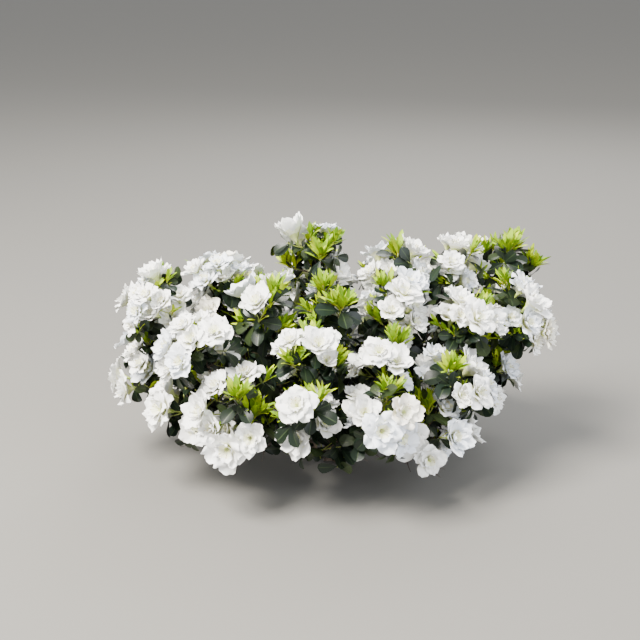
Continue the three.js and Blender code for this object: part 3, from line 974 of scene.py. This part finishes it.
outerPetal = [
    (0.0, 1.6, 0, 1.2),
    (0.25, 3.2, 9, 2.8),
    (0.46, 9.0, 16.2, 7.6),
    (0.64, 16.6, 20.3, 12.4),
    (0.8, 23.4, 22.5, 14.1),
    (0.92, 28.4, 23.2, 13.2),
    (1.0, 31.4, 22.8, 8.8),
]
secondPetal = [
    (0.0, 1.2, 4, 1.2),
    (0.34, 3.8, 15, 4.4),
    (0.58, 10.2, 21.6, 9.4),
    (0.78, 17.0, 25.5, 12.0),
    (0.91, 22.0, 27.1, 11.2),
    (1.0, 24.5, 27.5, 7.4),
]
innerPetal = [
    (0.0, 0.6, 10, 0.8),
    (0.42, 3.6, 20, 4.6),
    (0.74, 8.8, 25.8, 7.7),
    (0.91, 11.8, 28.4, 6.8),
    (1.0, 13.5, 29.5, 4.6),
]
whorls = [
    {"profile": outerPetal, "petals": 5, "columns": 9, "ruffle": 0.9, "swing": 0.12, "closing": 1},
    {"profile": secondPetal, "petals": 5, "columns": 8, "ruffle": 1.1, "swing": 0.3, "closing": 0.8},
    {"profile": innerPetal, "petals": 6, "columns": 6, "ruffle": 1.2, "swing": 0.7, "closing": 0.5},
]
throatRows = [(2, 1), (1, 1), (1, 1)]  # of each whorl, in throat colour and in the paler one

# Each wave's height in millimetres, the least and most radians that it turns, and the power
# of the way along the petal that it grows by
petalWaves = {
    "outline": (0.7, 5, 9, 4),
    "edge": (2.0, 5, 9, 2),
    "frill": (1.6, 4, 8, 5),
    "fold": (2.8, 2, 4, 1.5),
}
petal = {
    "rounding": (0.11, 6, 2.2),  # of the tip, and its powers along and across
    "notch": (0.05, 8, 0.22),  # its depth, its power along, and its width
    "edge": 1.5,  # power across of the edge's wave
    "crumple": 0.32,
    "lengths": (0.9, 1.04),
    "widths": (0.9, 1.12),
    "bends": (-0.2, 0.14),  # radians from root to tip
    "bending": 1.3,  # power along
    "sway": 0.3,  # share of its waves by which a bent petal moves outwards
    "twist": 0.2,
    "cup": 1.2,
    "lap": 0.9,  # of one edge over the next petal
    "axis": 1.6,  # thickness of the middle that it fans out from
}
stamens = {
    "count": 5,
    "sides": 4,
    "lengths": (19, 24),
    "lean": (0.05, 0.34),
    "root": 9,  # up the tube
    "curl": 2.2,
    "outline": [(0, 0.3), (0.5, 0.26), (0.92, 0.22), (0.925, 0.55), (0.975, 0.6), (1, closedTip)],
    "antherFrom": 0.92,
}
calyxCup = {
    "outline": [(-4, 0.6), (-1, 1.0), (0, 1.9), (3, 2.5), (5, 3.2)],  # how high, and its radius
    "sides": 10,
    "teeth": (-1.0, 2.5),  # how far the rim goes down and up
}
# the second share is of flowers whose petals are the bluish white of painted shade
moods = {"fresh": 0.7, "painted_shade": 0.26, "closed": (0.12, 0.22)}  # shares, and mean and spread


def framesOf(flowers):  # their bases, three directions of each, and their sizes
    base, facing = gather(flowers, "base"), gather(flowers, "facing")
    first, second = np.array([sideways(way) for way in facing]).swapaxes(0, 1)
    return base, facing, first, second, gather(flowers, "radius") / blossom["radius"]


def petalGrids(flowers, random, whorl, offset):
    many, count, columns = len(flowers), whorl["petals"], whorl["columns"]
    base, facing, first, second, size = [part[:, None, None, None] for part in framesOf(flowers)]
    turn, closed = [gather(flowers, key)[:, None, None, None] for key in ("turn", "closed")]
    u, out, rise, half = [np.array(whorl["profile"])[None, None, :, n, None] for n in range(4)]
    v = np.linspace(-1, 1, columns)[None, None, None, :]
    k = np.arange(count)[None, :, None, None]

    def each(low, high):  # one number for each petal
        return random.uniform(low, high, (many, count, 1, 1))

    def wave(name, place):
        height, least, most, power = petalWaves[name]
        swell = np.sin(each(least, most) * place + each(0, fullTurn))
        return height * whorl["ruffle"] * swell * u**power

    # the outline is rounded and notched at the tip, and the edge frilled
    depth, along, across = petal["rounding"]
    cut = depth * u**along * np.abs(v) ** across
    depth, along, width = petal["notch"]
    cut = cut + depth * u**along * np.exp(-((v / width) ** 2))
    reach = out * (1 - cut) * each(*petal["lengths"]) + wave("outline", v)
    waves = wave("edge", u) * np.abs(v) ** petal["edge"] + wave("frill", v) + wave("fold", v)
    crumple = random.normal(0, petal["crumple"], (many, count, u.shape[2], columns))
    waves = waves + crumple * whorl["ruffle"] * u
    # a petal bends up or back as a whole, and stands up in a half open flower
    bend = (each(*petal["bends"]) + closed * whorl["closing"]) * u ** petal["bending"]
    cup = petal["lap"] * v * np.sin(u * math.pi) - petal["cup"] * v**2 * (1 - u)
    height = rise + cup + waves * np.cos(bend) + reach * np.sin(bend)
    reach = reach * np.cos(bend) + petal["sway"] * waves * np.sin(bend)
    twist = each(-petal["twist"], petal["twist"]) * u**2
    spread = v * half * each(*petal["widths"]) / np.maximum(out, petal["axis"])
    swing = each(-whorl["swing"], whorl["swing"])
    angle = spread + twist + swing - turn - offset - fullTurn * k / count
    grid = (
        base
        + facing * (height * size)[..., None]
        + first * (reach * size * np.cos(angle))[..., None]
        + second * (reach * size * np.sin(angle))[..., None]
    )
    return grid.reshape(many * count, -1, columns, 3)


def growPetals(flowers, heap, random):
    tones = gather(flowers, "tone")
    for n, (whorl, (throatEnd, paleRows)) in enumerate(zip(whorls, throatRows)):
        count, rows = whorl["petals"], len(whorl["profile"]) - 1
        colours = np.empty((len(flowers) * count, rows, whorl["columns"] - 1), int)
        colours[:] = np.repeat(tones, count)[:, None, None]
        colours[:, : throatEnd + paleRows] = paleThroat
        colours[:, :throatEnd] = throat
        # the petals of a whorl stand over the gaps of the one before
        addGrid(heap, petalGrids(flowers, random, whorl, n * math.pi / count), colours)


def growStamens(flowers, heap, random):
    base, facing, first, second, size = framesOf(flowers)
    stops, thick = np.array(stamens["outline"]).T
    colours = np.where(stops[1:] > stamens["antherFrom"], anther, filament)[None, :, None]
    for _ in range(stamens["count"]):
        turn = random.uniform(0, fullTurn, len(flowers))[:, None]
        flat = np.cos(turn) * first + np.sin(turn) * second
        way = unit(facing + flat * random.uniform(*stamens["lean"], len(flowers))[:, None])
        side = unit(np.cross(way, flat))
        tall = random.uniform(*stamens["lengths"], len(flowers)) * size
        root = base + facing * (stamens["root"] * size)[:, None]
        line = root[:, None] + way[:, None] * (stops * tall[:, None])[..., None]
        line = line + flat[:, None] * (stops**2 * stamens["curl"])[None, :, None]
        ring = circle(stamens["sides"], side, flat)
        grid = line[:, :, None] + ring[:, None] * thick[None, :, None, None]
        addGrid(heap, grid, colours, closed=True)


def growCalyxes(flowers, heap):  # a small green cup with teeth round the foot of each tube
    base, facing, first, second, size = framesOf(flowers)
    size = size[:, None, None, None]
    ring = circle(calyxCup["sides"], first, second)
    heights, widths = np.array(calyxCup["outline"]).T
    rises = np.repeat(heights[:, None], calyxCup["sides"], axis=1)
    rises[-1] += np.resize(calyxCup["teeth"], calyxCup["sides"])
    grid = base[:, None, None] + facing[:, None, None] * rises[None, :, :, None] * size
    grid = grid + ring[:, None] * widths[None, :, None, None] * size
    addGrid(heap, grid, calyx, closed=True)


petalSeed = 5  # of each flower's tone, how far it is closed, and its petals
shades = np.random.default_rng(petalSeed)
# most flowers are white, some the bluish white of painted shade, the rest the cream of older petals
for flower in allFlowers:
    draw = shades.random()
    shadeOrCream = painted_shade if draw < moods["fresh"] + moods["painted_shade"] else cream
    flower["tone"] = fresh if draw < moods["fresh"] else shadeOrCream
    flower["closed"] = max(0.0, shades.normal(*moods["closed"]))


# The crown, grown side by side, so that each piece stays a handy size

sideEdge = 60  # between the middle and the left, the right and the back
sides = {"left": [], "middle": [], "right": [], "back": []}
for limb in limbs.values():
    x, y, _ = limb["centre"]
    across = "left" if x < -sideEdge else "right" if x > sideEdge else "middle"
    sides["back" if y > sideEdge else across].append(limb)

for side, group in sides.items():
    heaps = {"twigs": newHeap(), "old": [], "young": []}  # leaves are listed before they are made
    for limb in group:
        growMass(heaps, limb)
    flowerHeap = newHeap()
    flowers = [flower for limb in group for flower in limb["flowers"]]
    growPetals(flowers, flowerHeap, shades)
    growStamens(flowers, flowerHeap, shades)
    growCalyxes(flowers, flowerHeap)
    pieces = [
        (heaps["twigs"], "twigs", [twigBark, shootGreen], "bark"),
        (leafHeap(heaps["old"], oldLeaf), "old_leaves", oldLeafLooks, None),
        (leafHeap(heaps["young"], youngLeaf), "young_leaves", youngLeafLooks, "young_leaf"),
        (flowerHeap, "blossom", petalLooks, "blossom"),
    ]
    for heap, kind, materials, slot in pieces:
        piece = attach(joinHeap(heap, f"{kind}_{side}", materials), "root")
        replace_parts(piece, *["foliage_" + limb["name"] for limb in group])
        print(piece.name, 2 * len(piece.data.polygons), "triangles")


# Floor, light and camera

bpy.ops.mesh.primitive_plane_add(size=40)
floor = bpy.context.object
floor.name = "pale_floor"
floor.data.materials.append(newMaterial("pale_floor_paint", "#74726d", 0.9))

sky = {"Color": linear("#eceef0"), "Strength": 1.15}
world = bpy.data.worlds.new("soft_sky")
world.use_nodes = True
for socket, value in sky.items():
    world.node_tree.nodes["Background"].inputs[socket].default_value = value
bpy.context.scene.world = world

lampAim = Vector((0, 0, 0.15))
lamps = {  # place, size in metres, power in watts, colour
    "key": ((-1.3, -1.1, 2.4), 1.3, 400, "#fffaf2"),
    "fill": ((1.9, -1.8, 1.2), 2.2, 75, "#eef4ff"),
    "rim": ((0.6, 2.0, 1.8), 1.6, 60, "#ffffff"),
}
for name, (place, size, power, colour) in lamps.items():
    aim = (lampAim - Vector(place)).to_track_quat("-Z", "Y").to_euler()
    bpy.ops.object.light_add(type="AREA", location=place, rotation=aim)
    lamp = bpy.context.object
    lamp.name = name
    lamp.data.size = size
    lamp.data.energy = power
    lamp.data.color = linear(colour)[:3]

# The photograph looks down on the plant by 18 degrees, from about 1.7 m
cameraView = {"place": (-0.0203, -1.5402, 0.6964), "tilt": 72 * degrees, "lens": 69.98}
bpy.ops.object.camera_add(location=cameraView["place"], rotation=(cameraView["tilt"], 0, 0))
camera = bpy.context.object
camera.data.lens = cameraView["lens"]
bpy.context.scene.camera = camera
print("floor, light and camera set")
